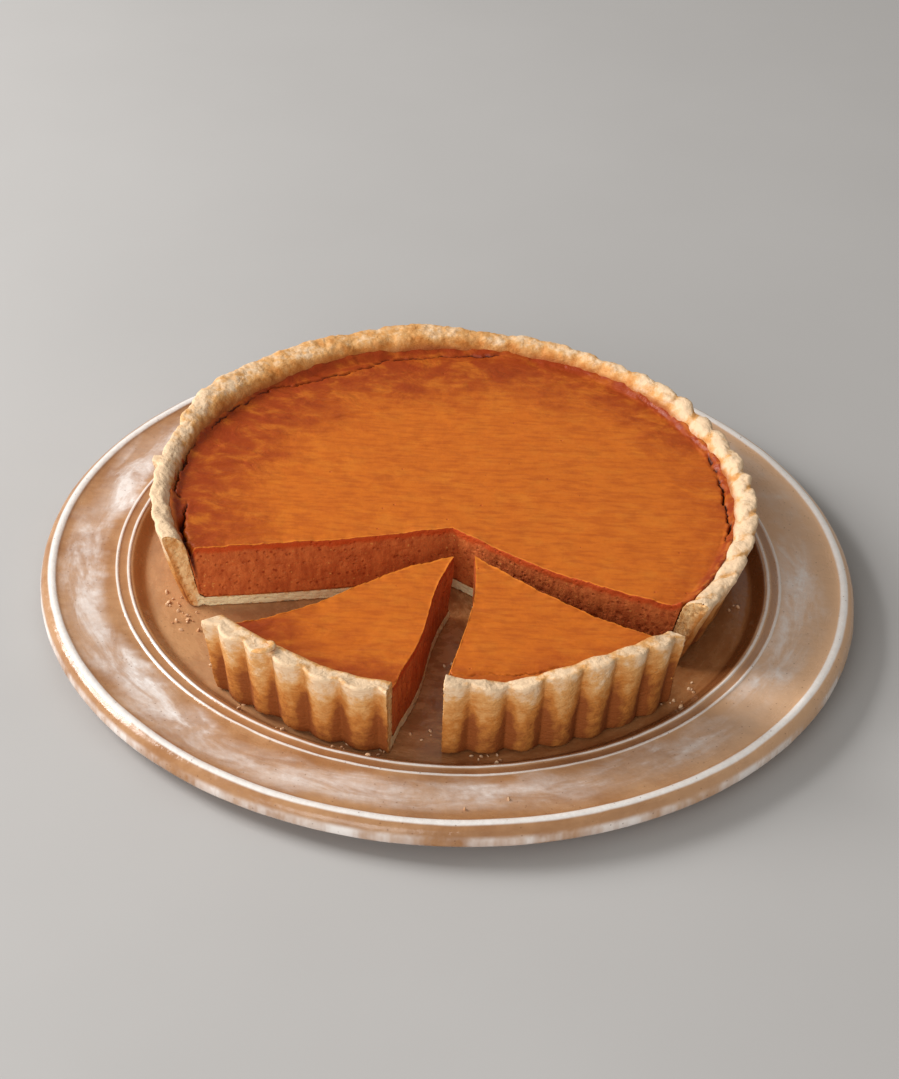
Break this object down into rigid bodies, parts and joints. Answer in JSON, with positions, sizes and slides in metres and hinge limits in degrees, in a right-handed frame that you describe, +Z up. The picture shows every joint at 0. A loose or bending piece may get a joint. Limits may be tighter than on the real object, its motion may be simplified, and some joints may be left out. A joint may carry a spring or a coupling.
{
  "type": "pumpkin pie on a plate",
  "caption": "Fluted pastry case filled with set pumpkin custard on a round stoneware plate, with slices cut and drawn out at the front.",
  "frame": {"origin": "middle of the plate's underside, on the surface it stands on", "axes": "+Z up; the cut slices are drawn out towards -Y; +X to the right when looking along +Y"},
  "size_m": [0.3314, 0.3314, 0.0465],
  "materials": {
    "crust": "baked shortcrust pastry, matte, cream to golden brown",
    "filling": "set pumpkin custard, satin skin, finely porous where cut",
    "plate": "glossy mottled tan-brown stoneware glaze with off-white rings"
  },
  "bodies": {
    "root": {"plate": "plate", "crust_main": "crust", "filling_main": "filling", "crust_slice_left": "crust", "filling_slice_left": "filling", "crust_slice_right": "crust", "filling_slice_right": "filling"}
  },
  "joints": []
}
